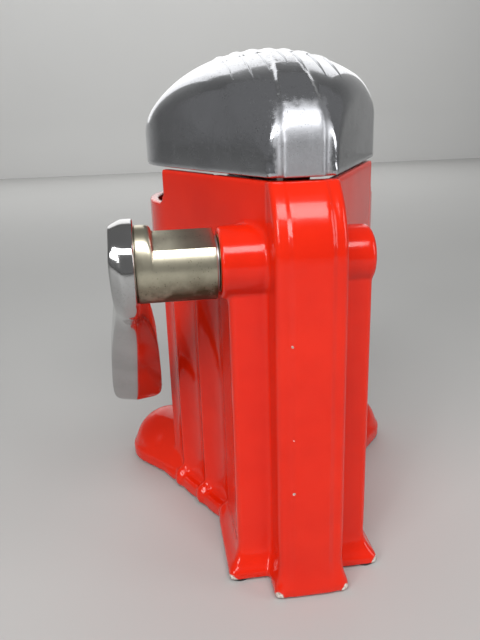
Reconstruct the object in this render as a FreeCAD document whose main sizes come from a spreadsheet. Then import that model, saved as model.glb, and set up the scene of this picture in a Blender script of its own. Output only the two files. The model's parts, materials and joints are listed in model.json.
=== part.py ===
import FreeCAD, Part
import math
import os
import Sketcher

# Hand lever citrus press: red cast stand, chrome dome on a toothed arm, lever on a cross shaft.
# The stand's back is +Y, the glass bay faces -Y, the lever is on +X, and Z = 0 is the table.

doc = FreeCAD.newDocument("citrus_press")
dims = doc.addObject("Spreadsheet::Sheet", "dims")

SIZES = (
    ("rim_z", 165.0, "height of the collar rim"),
    ("front_rim_z", 150.0, "height of the cut-down front of the collar"),
    ("front_cut_y", -7.0, "where the front of the collar is cut down"),
    ("front_notch", 5.0, "rounding at the foot of that cut"),
    ("cast_edge", 2.5, "rounding of the bars and bosses of the casting"),
    ("fine_edge", 1.0, "rounding of the casting's finer edges"),
    ("foot_z", 1.0, "gap that the rubber feet leave under the casting"),
    ("wall_t", 4.0, "wall of the casting"),
    ("back_half", 12.3, "half width of the collar at its back edge"),
    ("back_y", 60.5, "back edge of the collar"),
    ("wall_angle", 28.0, "angle of each side wall to the fore and aft line"),
    ("round_r", 53.5, "radius of the round front of the collar"),
    ("collar_z", 118.0, "underside of the shelf that carries the bowl"),
    ("shelf_t", 6.0, "thickness of the shelf"),
    ("pil_half", 27.5, "half width over the two back pilasters"),
    ("pil_back_y", 58.6, "back face of the pilasters"),
    ("pil_top_z", 128.0, "top of the pilasters"),
    ("pil_foot", 4.6, "flare of the pilaster foot"),
    ("rib_half", 13.2, "half width of the back rib"),
    ("rib_face_half", 7.7, "half width of the raised face of the rib"),
    ("rib_back_y", 76.0, "raised face of the rib"),
    ("rib_step", 1.2, "step from the raised face to the rib flank"),
    ("rib_foot", 2.1, "flare of the rib foot"),
    ("rib_lean", 12.0, "how far the rib leans in at the rim"),
    ("rib_lean_z", 138.0, "where the rib begins to lean in"),
    ("wing_in", 7.0, "set back of the side walls under the collar"),
    ("wing_front_y", -29.0, "front edge of the side walls"),
    ("wing_long", 52.0, "length of each side wall from the pilaster"),
    ("skirt_long", 60.0, "length of the skirt from the pilaster"),
    ("wing_root", 7.0, "run of each side wall into the pilaster"),
    ("ridge_out", 0.8, "height of the ridges between the flutes"),
    ("ridge_r", 3.0, "bump at the foot of each ridge"),
    ("foot_out", 4.6, "flare of the skirt under the side walls"),
    ("foot_t", 3.5, "upright edge of the skirt"),
    ("cove_h", 10.5, "height of the cove over the skirt edge"),
    ("scallop_r", 17.5, "radius of the upright flutes"),
    ("scallop_deep", 2.2, "depth of the upright flutes"),
    ("scallop_pitch", 20.5, "distance from flute to flute"),
    ("scallop_start", 7.0, "place of the first flute from the pilaster corner"),
    ("toe_x", 51.0, "middle of each front toe across"),
    ("toe_y", -56.0, "middle of each front toe fore and aft"),
    ("toe_turn", 40.0, "angle of each toe to the fore and aft line"),
    ("toe_r", 22.0, "rounding of each toe in plan"),
    ("toe_edge", 6.0, "upright edge of each toe"),
    ("toe_rise", 24.0, "rise of the sloping top of each toe"),
    ("toe_top", 3.0, "half width of the top of each toe"),
    ("toe_long", 30.0, "run of each toe back to the side wall"),
    ("floor_z", 8.0, "floor of the glass bay"),
    ("floor_t", 3.0, "thickness of the bay floor"),
    ("base_rim", 6.0, "width of the edge under the base"),
    ("bay_back_y", 22.5, "back wall of the glass bay"),
    ("bay_reach", 80.0, "how far the bay cut runs out of the front"),
    ("shaft_y", 50.0, "lever shaft, fore and aft"),
    ("shaft_z", 135.0, "lever shaft, height"),
    ("shaft_r", 7.0, "lever shaft radius"),
    ("run_gap", 0.05, "running clearance of the shaft in its bushes"),
    ("side_gap", 0.35, "clearance between pieces that move past each other"),
    ("bush_t", 2.0, "wall of a bush"),
    ("flange_t", 1.0, "bush flange thickness"),
    ("flange_w", 1.8, "bush flange width"),
    ("boss_x", 30.3, "outer end of the lever side boss"),
    ("plain_x", 28.2, "outer end of the plain boss"),
    ("boss_in", 16.5, "inner end of the bushes"),
    ("boss_root", 11.0, "inner end of the shaft bosses"),
    ("boss_r", 13.6, "boss radius on the lever side"),
    ("plain_boss_r", 11.5, "boss radius on the plain side"),
    ("cap_t", 4.0, "closed end of the plain boss"),
    ("washer_t", 0.8, "thrust washer thickness"),
    ("washer_w", 3.2, "thrust washer width"),
    ("ring_t", 1.2, "retaining ring thickness"),
    ("ring_deep", 1.0, "depth of the ring groove"),
    ("ring_w", 3.2, "retaining ring width"),
    ("tooth_size", 2.0, "gear module"),
    ("pinion_count", 12.0, "teeth on the pinion"),
    ("arm_count", 50.0, "teeth on a full turn of the toothed arm"),
    ("tooth_add", 0.75, "tooth height over the pitch line, in modules"),
    ("tooth_ded", 1.05, "tooth depth under the pitch line, in modules"),
    ("tooth_slack", 0.2, "relief of each tooth flank"),
    ("press_angle", 20.0, "pressure angle"),
    ("arm_half", 5.0, "half width of the toothed arm and the pinion teeth"),
    ("arm_back", 8.0, "depth of the arm over its pitch line"),
    ("arm_low", 47.0, "angle of the arm under the shaft level"),
    ("arm_high", 38.0, "angle of the arm over the shaft level"),
    ("gap_count", 8.0, "tooth gaps cut in the arm"),
    ("pinion_hub", 3.5, "pinion hub past the teeth"),
    ("pad_half", 12.0, "half width of the pad at the top of the arm"),
    ("pad_back_y", 50.0, "back of that pad"),
    ("pad_front_y", 28.0, "front of that pad"),
    ("pad_z", 168.0, "underside of that pad"),
    ("pad_t", 8.0, "pad thickness"),
    ("pad_screw_x", 8.5, "pad screws from the middle"),
    ("pad_screw_y", 40.0, "pad screws, fore and aft"),
    ("guide_half", 9.5, "half width of the arm guide"),
    ("guide_deep", 8.5, "depth of the arm guide"),
    ("guide_low", 14.0, "guide reach under and over the shaft level"),
    ("guide_screw_x", 7.4, "guide screws from the middle"),
    ("screw_r", 1.5, "small screw shank"),
    ("head_r", 3.0, "small screw head radius"),
    ("head_t", 2.0, "small screw head height"),
    ("screw_len", 9.0, "small screw shank length"),
    ("pin_r", 1.25, "cross pin radius"),
    ("hub_r", 13.4, "lever hub radius"),
    ("hub_end", 54.4, "where the hub sleeve meets its block"),
    ("hub_flat", 10.6, "height of the flat on the hub over the shaft"),
    ("block_end", 60.5, "where the hub block meets the lever"),
    ("lever_r", 18.0, "radius of the lever head"),
    ("lever_x", 69.6, "outer face of the lever head"),
    ("lever_edge", 1.6, "rounding of the lever head"),
    ("lever_drop", 41.0, "angle of the lever forward of straight down"),
    ("bolt_r", 2.5, "lever screw shank"),
    ("bolt_head_r", 5.5, "lever screw head radius"),
    ("bolt_head_t", 2.2, "lever screw head height"),
    ("shaft_end", 64.0, "outer end of the shaft inside the lever"),
    ("bowl_r", 43.0, "bowl radius over the shelf"),
    ("bowl_low_r", 38.5, "bowl radius in the shelf"),
    ("bowl_t", 2.0, "bowl wall"),
    ("bowl_top", 149.0, "bowl rim height"),
    ("bowl_low", 111.0, "underside of the bowl"),
    ("spout_r", 7.0, "spout radius"),
    ("spout_z", 100.0, "tip of the spout"),
    ("cone_r", 28.0, "foot of the straining cone"),
    ("cone_top", 156.5, "tip of the straining cone"),
    ("cone_t", 1.6, "straining cone sheet"),
    ("hole_r", 1.4, "straining hole radius"),
    ("hole_ring", 34.0, "radius of the ring of straining holes"),
    ("hole_count", 24.0, "straining holes in the ring"),
    ("cup_gap", 3.4, "space between the cone and the press cup"),
    ("cup_t", 3.5, "press cup wall at its lip"),
    ("cup_rise", 12.6, "stem of the press cup over its inside"),
    ("cup_stem", 9.0, "press cup stem radius"),
    ("lid_gap", 1.0, "gap between the rim and the dome"),
    ("lid_t", 3.2, "wall of the dome"),
    ("lid_rx", 58.0, "dome curve across"),
    ("lid_ry", 84.0, "dome curve fore and aft"),
    ("lid_rz", 47.0, "dome curve upward"),
    ("lid_y", -16.0, "middle of the dome curve"),
    ("lid_round", 12.0, "rounding between the dome top and its sides"),
    ("lid_bend", 11.0, "height on the dome where the band begins to round over"),
    ("lid_band", 2.0, "height of the band up the back of the dome"),
    ("lid_knee", 29.0, "height on the dome where the band turns forward"),
    ("lid_knee_y", 52.0, "place where the band turns forward"),
    ("lid_crest", 44.4, "height on the dome where the band ends"),
    ("lid_crest_y", 15.0, "place where the band ends"),
    ("lid_sag", 30.0, "depth of the centre of the band's top curve"),
    ("lid_taper", 3.0, "half width of the band at its end"),
    ("lid_rib_h", 0.55, "height of the thin ribs on the dome"),
    ("lid_rib_w", 1.7, "width of the thin ribs on the dome"),
    ("lid_rib_pitch", 6.8, "distance between the thin ribs"),
    ("lid_rib_back", 12.0, "back end of the thin ribs"),
    ("lid_rib_front", -62.0, "front end of the thin ribs"),
    ("foot_pad_r", 4.0, "rubber foot radius"),
    ("foot_pad_out", 8.0, "front rubber feet outside the middle of the toes"),
    ("foot_pad_deep", 2.0, "depth of the rubber feet in the casting"),
    ("over", 1.0, "overlap of joined and cut forms"),
)
# Lever sections from the hub to the tip: reach along the lever, inner and outer edge across,
# place of the ridge, half thickness at the edges and at the ridge.
STATION_FIELDS = ("reach", "inner", "outer", "ridge", "edge", "crest")
STATIONS = (
    ("root", (9.0, 57.0, 71.0, 62.6, 8.0, 10.0)),
    ("neck", (28.0, 57.0, 73.6, 64.0, 5.2, 8.2)),
    ("waist", (50.0, 56.6, 75.6, 65.0, 3.8, 7.0)),
    ("palm", (84.0, 55.6, 78.0, 66.4, 2.9, 6.2)),
    ("end", (104.0, 55.2, 79.0, 67.2, 2.4, 5.2)),
    ("tip", (116.0, 60.0, 76.0, 67.8, 1.6, 2.6)),
)
for station, numbers in STATIONS:
    for field, number in zip(STATION_FIELDS, numbers):
        SIZES += (("%s_%s" % (station, field), number, "lever %s, %s" % (station, field)),)
for row, (alias, value, words) in enumerate(SIZES, start=1):
    dims.set("A%d" % row, words)
    dims.set("B%d" % row, repr(value))
    dims.setAlias("B%d" % row, alias)
doc.recompute()

PLANES = {
    "XY": FreeCAD.Rotation(),
    "XZ": FreeCAD.Rotation(FreeCAD.Vector(1, 0, 0), 90),
    "YZ": FreeCAD.Rotation(FreeCAD.Vector(1, 1, 1), 120),
}
ALONG = {
    "X": FreeCAD.Rotation(FreeCAD.Vector(0, 1, 0), 90),
    "Y": FreeCAD.Rotation(FreeCAD.Vector(1, 0, 0), -90),
    "Z": FreeCAD.Rotation(),
    "-X": FreeCAD.Rotation(FreeCAD.Vector(0, 1, 0), -90),
    "-Y": FreeCAD.Rotation(FreeCAD.Vector(1, 0, 0), 90),
}


def put(obj, at):
    """Bind an object's place to the sheet."""
    for axis, text in zip("xyz", at):
        if text != "0":
            obj.setExpression("Placement.Base." + axis, text)
    return obj


def fix_point(sketch, geo, pos, point):
    """Hold one sketch point at a pair of sheet expressions."""
    for axis, text, line in (("X", point[0], -2), ("Y", point[1], -1)):
        if text == "0":
            sketch.addConstraint(Sketcher.Constraint("PointOnObject", geo, pos, line))
            continue
        value = float(sketch.evalExpression(text))
        index = sketch.addConstraint(Sketcher.Constraint("Distance" + axis, -1, 1, geo, pos, value))
        sketch.setExpression("Constraints[%d]" % index, text)


def outline(name, points, plane="XY", owner=None, at=("0", "0", "0")):
    """Closed outline. A third item of a point makes the run after it an arc:
    the height of the arc's centre, and its sense."""
    if owner is None:
        sketch = doc.addObject("Sketcher::SketchObject", name)
        sketch.Placement = FreeCAD.Placement(FreeCAD.Vector(), PLANES[plane])
        put(sketch, at)
    else:
        sketch = owner.newObject("Sketcher::SketchObject", name)
        role = plane + "_Plane"
        sketch.AttachmentSupport = [f for f in owner.Origin.OriginFeatures if f.Role == role][0]
        sketch.MapMode = "FlatFace"
    spots = []
    for point in points:
        x = float(sketch.evalExpression(point[0]))
        y = float(sketch.evalExpression(point[1]))
        spots.append(FreeCAD.Vector(x, y, 0))
    ends = []
    for i, point in enumerate(points):
        a = spots[i]
        b = spots[(i + 1) % len(points)]
        if len(point) == 2:
            sketch.addGeometry(Part.LineSegment(a, b))
            ends.append((1, 2))
            continue
        level = float(sketch.evalExpression(point[2]))
        middle = (a + b) * 0.5
        run = b - a
        side = FreeCAD.Vector(-run.y, run.x, 0)
        centre = middle + side * ((level - middle.y) / side.y)
        turn = point[3] == "left"
        first, last = (a, b) if turn else (b, a)
        circle = Part.Circle(centre, FreeCAD.Vector(0, 0, 1), (a - centre).Length)
        start = math.atan2(first.y - centre.y, first.x - centre.x)
        stop = math.atan2(last.y - centre.y, last.x - centre.x)
        sketch.addGeometry(Part.ArcOfCircle(circle, start, stop))
        ends.append((1, 2) if turn else (2, 1))
    for i in range(len(points)):
        j = (i + 1) % len(points)
        sketch.addConstraint(Sketcher.Constraint("Coincident", i, ends[i][1], j, ends[j][0]))
    for i, point in enumerate(points):
        fix_point(sketch, i, ends[i][0], point)
        if len(point) > 2 and point[2] == "0":
            sketch.addConstraint(Sketcher.Constraint("PointOnObject", i, 3, -1))
        elif len(point) > 2:
            value = float(sketch.evalExpression(point[2]))
            index = sketch.addConstraint(Sketcher.Constraint("DistanceY", -1, 1, i, 3, value))
            sketch.setExpression("Constraints[%d]" % index, point[2])
    return sketch


def extrude(name, sketch, length, both=False):
    solid = doc.addObject("Part::Extrusion", name)
    solid.Base = sketch
    solid.DirMode = "Normal"
    solid.Solid = True
    solid.Symmetric = both
    solid.setExpression("LengthFwd", length)
    return solid


def revolve(name, points, at):
    solid = doc.addObject("Part::Revolution", name)
    solid.Source = outline(name + "_profile", points, "XZ")
    solid.Axis = FreeCAD.Vector(0, 0, 1)
    solid.Angle = 360
    solid.Solid = True
    return put(solid, at)


def cylinder(name, radius, length, at, along="Z"):
    solid = doc.addObject("Part::Cylinder", name)
    solid.Placement = FreeCAD.Placement(FreeCAD.Vector(), ALONG[along])
    solid.setExpression("Radius", radius)
    solid.setExpression("Height", length)
    return put(solid, at)


def box(name, size, at):
    solid = doc.addObject("Part::Box", name)
    for prop, text in zip(("Length", "Width", "Height"), size):
        solid.setExpression(prop, text)
    return put(solid, at)


def ellipsoid(name, radii, at):
    solid = doc.addObject("Part::Ellipsoid", name)
    solid.Angle1 = -90
    for prop, text in zip(("Radius2", "Radius3", "Radius1"), radii):
        solid.setExpression(prop, text)
    return put(solid, at)


def fuse(name, shapes):
    solid = doc.addObject("Part::MultiFuse", name)
    solid.Shapes = shapes
    solid.Refine = True
    return solid


def common(name, shapes):
    solid = doc.addObject("Part::MultiCommon", name)
    solid.Shapes = shapes
    return solid


def cut(name, base, tools):
    solid = doc.addObject("Part::Cut", name)
    solid.Base = base
    solid.Tool = tools[0] if len(tools) == 1 else fuse(name + "_tools", tools)
    return solid


def mirror(name, source):
    solid = doc.addObject("Part::Mirroring", name)
    solid.Source = source
    solid.Normal = FreeCAD.Vector(1, 0, 0)
    return solid


def rounded(name, base, radius, chosen):
    """Round the edges of a form that the test picks."""
    doc.recompute()
    solid = doc.addObject("Part::Fillet", name)
    solid.Base = base
    solid.Edges = [(i, radius, radius) for i, line in enumerate(base.Shape.Edges, start=1) if chosen(line)]
    return solid


def upright(line):
    """True for an edge that rises up the back of a bar."""
    low, high = sorted((v.Point for v in line.Vertexes), key=lambda p: p.z)[:: len(line.Vertexes) - 1 or 1]
    return high.z - low.z > dims.over and min(low.y, high.y) > dims.pil_back_y - dims.over


def at_level(height):
    """Test for the outer edges of a block at a height."""
    return lambda line: all(abs(v.Z - height) < dims.over / 2 for v in line.Vertexes)


def both_sides(points):
    """Close a half outline with its mirror image across the middle."""
    return points + [("-(%s)" % x, y) for x, y in reversed(points)]


COS = "cos(dims.wall_angle)"
SIN = "sin(dims.wall_angle)"
TAN = "tan(dims.wall_angle)"
ROUND_Y = "(dims.back_y - (dims.round_r - dims.back_half * %s) / %s)" % (COS, SIN)


def wall_x(y, out):
    """Half width of the side wall's line at y, moved outwards."""
    return "(dims.back_half + (%s) / %s + (dims.back_y - (%s)) * %s)" % (out, COS, y, TAN)


def round_point(out):
    """Where the side wall's line meets the round front."""
    radius = "(dims.round_r + (%s))" % out
    return ("%s * %s" % (radius, COS), "%s + %s * %s" % (ROUND_Y, radius, SIN))


def teardrop(name, out, back, low, high):
    """Plan of the collar, moved outwards, as an upright block."""
    tall = "(%s) - (%s)" % (high, low)
    half = [(wall_x(back, out), back), round_point(out)]
    wedge = outline(name + "_plan", both_sides(half), at=("0", "0", low))
    front = cylinder(name + "_round", "dims.round_r + (%s)" % out, tall, ("0", ROUND_Y, low))
    return fuse(name, [extrude(name + "_wedge", wedge, tall), front])


# Stand: outside forms
FOOT_TOP = "dims.foot_z + dims.foot_t"
COVE_TOP = "dims.foot_z + dims.foot_t + dims.cove_h"
SHELF_TOP = "dims.collar_z + dims.shelf_t"
collar_block = teardrop("collar_block", "0", "dims.back_y", "dims.collar_z", "dims.rim_z")
collar_topped = rounded("collar_topped", collar_block, dims.fine_edge, at_level(dims.rim_z))
collar = rounded("collar", collar_topped, dims.fine_edge, at_level(dims.collar_z))

WING_OUT = "dims.foot_out - dims.wing_in"
WING_INSIDE = "-dims.wing_in - dims.wall_t"
CORNER_Y = "(dims.back_y - (dims.pil_half - dims.back_half + dims.wing_in / %s) / %s)" % (COS, TAN)
WING_RUN = "(dims.wing_long + dims.wing_root)"
wing_wall = box("wing_wall", ("dims.wall_t + dims.ridge_out", WING_RUN, "dims.collar_z - dims.foot_z"),
                ("-dims.wall_t", "-dims.wing_long", "dims.foot_z"))
flutes = []
bumps = []
for k in range(4):
    along = "(dims.scallop_start + %d * dims.scallop_pitch)" % k
    flutes.append(cylinder("flute_%d" % k, "dims.scallop_r", "dims.collar_z",
                           ("dims.scallop_r - dims.scallop_deep", "-" + along, "0")))
    bumps.append(ellipsoid("bump_%d" % k, ("dims.ridge_r", "dims.ridge_r", "2 * dims.ridge_r"),
                           ("dims.foot_out - dims.ridge_r + dims.ridge_out", "dims.scallop_pitch / 2 - " + along,
                            "dims.foot_z")))
fluted = cut("fluted", wing_wall, flutes)
skirt_section = outline("skirt_section", [
    ("-dims.wall_t", "dims.foot_z"),
    ("dims.foot_out", "dims.foot_z"),
    ("dims.foot_out", FOOT_TOP, COVE_TOP, "right"),
    ("-dims.scallop_deep", COVE_TOP),
    ("-dims.wall_t", COVE_TOP),
], "XZ", at=("0", "dims.wing_root", "0"))
skirt = extrude("skirt", skirt_section, "dims.skirt_long + dims.wing_root")
wing = fuse("wing", [fluted, skirt] + bumps)
wing.Placement.Rotation = FreeCAD.Rotation(FreeCAD.Vector(0, 0, 1), dims.wall_angle)
wing.setExpression("Placement.Rotation.Angle", "dims.wall_angle")
put(wing, ("dims.pil_half", CORNER_Y, "0"))
wing_mirror = mirror("wing_mirror", wing)


def moulded(name, half, half_foot, back, back_foot, front, top, soft):
    """Upright bar with a coved foot on its back and both sides."""
    side = outline(name + "_side", [
        (front, "dims.foot_z"),
        ("%s + %s" % (back, back_foot), "dims.foot_z"),
        ("%s + %s" % (back, back_foot), FOOT_TOP, COVE_TOP, "right"),
    ] + top + [(front, top[-1][1])], "YZ")
    wide = "%s + %s" % (half, half_foot)
    face = outline(name + "_face", [
        ("-(%s)" % wide, "dims.foot_z"),
        (wide, "dims.foot_z"),
        (wide, FOOT_TOP, COVE_TOP, "right"),
        (half, COVE_TOP),
        (half, top[-1][1]),
        ("-(%s)" % half, top[-1][1]),
        ("-(%s)" % half, COVE_TOP, COVE_TOP, "right"),
        ("-(%s)" % wide, FOOT_TOP),
    ], "XZ", at=("0", "%s + %s + dims.over" % (back, back_foot), "0"))
    deep = "%s + %s + 2 * dims.over - (%s)" % (back, back_foot, front)
    bar = common(name + "_bar", [
        extrude(name + "_side_solid", side, "2 * (%s + dims.over)" % wide, True),
        extrude(name + "_face_solid", face, deep),
    ])
    return rounded(name, bar, soft, upright)


pilasters = moulded("pilasters", "dims.pil_half", "dims.pil_foot", "dims.pil_back_y", "dims.pil_foot",
                    "dims.bay_back_y", [
                        ("dims.pil_back_y", COVE_TOP),
                        ("dims.pil_back_y", "dims.pil_top_z"),
                    ], dims.cast_edge)
FLANK = "(dims.rib_back_y - dims.rib_step)"
RIB_FRONT = "dims.pil_back_y - dims.wall_t"
rib = moulded("rib", "dims.rib_half", "dims.rib_foot", FLANK, "dims.rib_foot", RIB_FRONT, [
    (FLANK, COVE_TOP),
    (FLANK, "dims.rib_lean_z", "dims.rib_lean_z", "left"),
    ("%s - dims.rib_lean" % FLANK, "dims.rim_z"),
], dims.cast_edge)
rib_face = moulded("rib_front", "dims.rib_face_half", "dims.rib_step", "dims.rib_back_y", "dims.rib_step",
                   RIB_FRONT, [
                       ("dims.rib_back_y", COVE_TOP),
                       ("dims.rib_back_y", "dims.rib_lean_z", "dims.rib_lean_z", "left"),
                       ("dims.rib_back_y - dims.rib_lean", "dims.rim_z"),
                   ], dims.fine_edge)
base_block = teardrop("base_block", WING_OUT, "dims.bay_back_y", "dims.foot_z", "dims.floor_z")
base = rounded("base", base_block, dims.fine_edge, at_level(dims.floor_z))
TOE_BAND = "dims.foot_z + dims.toe_edge"
TOE_TOP = "dims.foot_z + dims.toe_edge + dims.toe_rise"
toe_half = [("dims.toe_r", "dims.foot_z"), ("dims.toe_r", TOE_BAND), ("dims.toe_top", TOE_TOP)]
toe_end = revolve("toe_end", [("0", "dims.foot_z")] + toe_half + [("0", TOE_TOP)], ("0", "0", "0"))
toe_bar = extrude("toe_bar", outline("toe_section", both_sides(toe_half), "XZ", at=("0", "dims.toe_long", "0")),
                  "dims.toe_long")
toe_form = fuse("toe_form", [toe_end, toe_bar])
toe_form.Placement.Rotation = FreeCAD.Rotation(FreeCAD.Vector(0, 0, 1), dims.toe_turn)
toe_form.setExpression("Placement.Rotation.Angle", "dims.toe_turn")
put(toe_form, ("dims.toe_x", "dims.toe_y", "0"))
toe = rounded("toe", toe_form, dims.cast_edge, at_level(dims.foot_z + dims.toe_edge))
toe_mirror = mirror("toe_mirror", toe)
outside = fuse("outside", [collar, wing, wing_mirror, pilasters, rib, rib_face, base, toe, toe_mirror])

# Stand: inside forms
FAR = "(2 * dims.round_r + dims.bay_reach)"
under = box("under", (FAR, FAR, "3 * dims.ridge_r"),
            ("-%s / 2" % FAR, "-%s / 2" % FAR, "dims.foot_z - 3 * dims.ridge_r"))
base_hollow = teardrop("base_hollow", "%s - dims.base_rim" % WING_OUT, "dims.bay_back_y",
                       "dims.foot_z - dims.over", "dims.floor_z - dims.floor_t")
bay_plan = outline("bay_plan", both_sides([
    (wall_x("dims.bay_back_y", WING_INSIDE), "dims.bay_back_y"),
    (wall_x("dims.wing_front_y", WING_INSIDE), "dims.wing_front_y"),
    (wall_x("dims.wing_front_y", WING_INSIDE), "dims.wing_front_y - dims.bay_reach"),
]), at=("0", "0", "dims.floor_z"))
bay = extrude("bay", bay_plan, "dims.collar_z - dims.floor_z")
well_room = teardrop("well_room", "-dims.wall_t", "dims.back_y - dims.wall_t", SHELF_TOP, "dims.rim_z + dims.over")
well_front = box("well_front", (FAR, FAR, "dims.rim_z"), ("-%s / 2" % FAR, "dims.bay_back_y - %s" % FAR, "0"))
well = common("well", [well_room, well_front])
COLUMN_FRONT = "dims.bay_back_y + dims.wall_t"
REAR_END = "dims.back_y - dims.wall_t + dims.over"
rear_plan = outline("rear_plan", both_sides([
    (wall_x(COLUMN_FRONT, "-dims.wall_t"), COLUMN_FRONT),
    (wall_x(REAR_END, "-dims.wall_t"), REAR_END),
]), at=("0", "0", "dims.collar_z - dims.over"))
rear_well = extrude("rear_well", rear_plan, "dims.rim_z - dims.collar_z + 2 * dims.over")
column = box("column", ("2 * (dims.pil_half - dims.wall_t)", "dims.pil_back_y - dims.wall_t - (%s)" % COLUMN_FRONT,
                        "dims.collar_z"),
             ("dims.wall_t - dims.pil_half", COLUMN_FRONT, "0"))
rib_room = box("rib_room", ("2 * (dims.rib_half - dims.wall_t + dims.over)",
                            "dims.rib_back_y - dims.rib_step - dims.wall_t - dims.over - (%s)" % RIB_FRONT,
                            "dims.front_rim_z"),
               ("dims.wall_t - dims.over - dims.rib_half", "%s - dims.over" % RIB_FRONT, "0"))
low_wall = box("low_wall", ("2 * dims.pil_half", "dims.wall_t + 2 * dims.over", "dims.rim_z"),
               ("-dims.pil_half", "dims.bay_back_y - dims.over", "dims.front_rim_z"))
front_block = box("front_block", (FAR, FAR, "dims.rim_z"),
                  ("-%s / 2" % FAR, "dims.front_cut_y - %s" % FAR, "dims.front_rim_z"))


def cut_foot(line):
    """True for the edge at the foot of the cut in the collar's front."""
    low = abs(line.CenterOfMass.z - dims.front_rim_z) < dims.over
    return low and abs(line.CenterOfMass.y - dims.front_cut_y) < dims.over


low_front = rounded("low_front", front_block, dims.front_notch, cut_foot)
shelf_hole = cylinder("shelf_hole", "dims.bowl_low_r", "dims.shelf_t + 2 * dims.over",
                      ("0", ROUND_Y, "dims.collar_z - dims.over"))
hollow = cut("hollow", outside, [under, base_hollow, bay, well, rear_well, column, rib_room, low_wall, low_front,
                                 shelf_hole])

# Shaft, bushes and bosses
BORE_R = "dims.shaft_r + dims.run_gap + dims.bush_t"
BOSS_LONG = "dims.boss_x - dims.boss_in"
PLAIN_LONG = "dims.plain_x - dims.boss_in"
boss_bar = cylinder("boss_bar", "dims.boss_r", "dims.boss_x - dims.boss_root",
                    ("dims.boss_root", "dims.shaft_y", "dims.shaft_z"), "X")
plain_bar = cylinder("plain_bar", "dims.plain_boss_r", "dims.plain_x - dims.boss_root",
                     ("-dims.boss_root", "dims.shaft_y", "dims.shaft_z"), "-X")


def outer_end(line):
    """True for the round edge at the outer end of a cross piece."""
    return len(line.Vertexes) == 1 and abs(line.CenterOfMass.x) > dims.plain_x - dims.over


boss = rounded("boss", boss_bar, dims.fine_edge, outer_end)
plain_boss = rounded("plain_boss", plain_bar, dims.cast_edge, outer_end)
bore = cylinder("bore", BORE_R, "%s + 2 * dims.over" % BOSS_LONG,
                ("dims.boss_in - dims.over", "dims.shaft_y", "dims.shaft_z"), "X")
plain_bore = cylinder("plain_bore", BORE_R, "%s - dims.cap_t + dims.over" % PLAIN_LONG,
                      ("dims.over - dims.boss_in", "dims.shaft_y", "dims.shaft_z"), "-X")
FLANGE_X = "dims.boss_x - dims.flange_t"
BUSH_R = "%s + dims.flange_w" % BORE_R
flange_seat = cylinder("flange_seat", BUSH_R, "dims.flange_t + dims.over", (FLANGE_X, "dims.shaft_y", "dims.shaft_z"), "X")
relief = cylinder("relief", "%s + dims.side_gap + dims.over / 2" % BORE_R, "2 * dims.boss_in",
                  ("-dims.boss_in", "dims.shaft_y", "dims.shaft_z"), "X")
with_bosses = fuse("with_bosses", [hollow, boss, plain_boss])


def tube(name, outer, inner, length, x, along="X"):
    """Ring or sleeve on the shaft line."""
    spot = (x, "dims.shaft_y", "dims.shaft_z")
    ring = cylinder(name + "_outer", outer, length, spot, along)
    return cut(name, ring, [cylinder(name + "_inner", inner, length, spot, along)])


RUN_R = "dims.shaft_r + dims.run_gap"
lever_side_bush = fuse("lever_side_bush", [
    tube("lever_sleeve", BORE_R, RUN_R, BOSS_LONG, "dims.boss_in"),
    tube("lever_flange", BUSH_R, RUN_R, "dims.flange_t", FLANGE_X),
])
plain_side_bush = tube("plain_side_bush", BORE_R, RUN_R, "%s - dims.cap_t" % PLAIN_LONG, "-dims.boss_in", "-X")

WASHER_X = "dims.boss_x + dims.side_gap"
HUB_X = "%s + dims.washer_t" % WASHER_X
thrust_washer = tube("thrust_washer", "dims.shaft_r + dims.washer_w", "dims.shaft_r", "dims.washer_t", WASHER_X)
RING_X = "dims.boss_in - dims.side_gap - dims.ring_t"
retaining_ring = tube("retaining_ring", "dims.shaft_r - dims.ring_deep + dims.ring_w",
                      "dims.shaft_r - dims.ring_deep", "dims.ring_t", RING_X)
SHAFT_START = "dims.cap_t + dims.side_gap - dims.plain_x"
shaft_bar = cylinder("shaft_bar", "dims.shaft_r", "dims.shaft_end - (%s)" % SHAFT_START,
                     (SHAFT_START, "dims.shaft_y", "dims.shaft_z"), "X")

# Pinion
PITCH_R = "(dims.tooth_size * dims.pinion_count / 2)"
ARM_R = "(dims.tooth_size * dims.arm_count / 2)"
ADD = "(dims.tooth_size * dims.tooth_add)"
DED = "(dims.tooth_size * dims.tooth_ded)"
INV = "(tan(dims.press_angle) - pi * dims.press_angle / 180)"


def flank_angle(radius, pitch, count):
    """Half angle of an involute tooth, or of the gap that takes it, at a radius."""
    ratio = "(%s * cos(dims.press_angle) / (%s))" % (pitch, radius)
    here = "(tan(acos(%s)) - acos(%s) * pi / 180deg)" % (ratio, ratio)
    return "(90 / %s + (%s - %s) * 180 / pi)" % (count, INV, here)


def polar(radius, angle, half):
    """Point at a radius on the line towards the front, turned and moved sideways."""
    return "-(%s) * cos(%s) - (%s) * sin(%s)" % (radius, angle, half, angle), \
        "(%s) * sin(%s) - (%s) * cos(%s)" % (radius, angle, half, angle)


def tooth_half(radius, pitch, count, slack):
    """Half width of a tooth or gap at a radius, with its relief."""
    return "((%s) * sin(%s) + (%s))" % (radius, flank_angle(radius, pitch, count), slack)


def new_body(name, at):
    body = doc.addObject("PartDesign::Body", name)
    return put(body, at)


def pad(owner, name, sketch, length):
    feature = owner.newObject("PartDesign::Pad", name)
    feature.Profile = sketch
    feature.SideType = "Symmetric"
    feature.setExpression("Length", length)
    return feature


def pocket(owner, name, sketch, length):
    feature = owner.newObject("PartDesign::Pocket", name)
    feature.Profile = sketch
    feature.SideType = "Symmetric"
    feature.setExpression("Length", length)
    return feature


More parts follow.
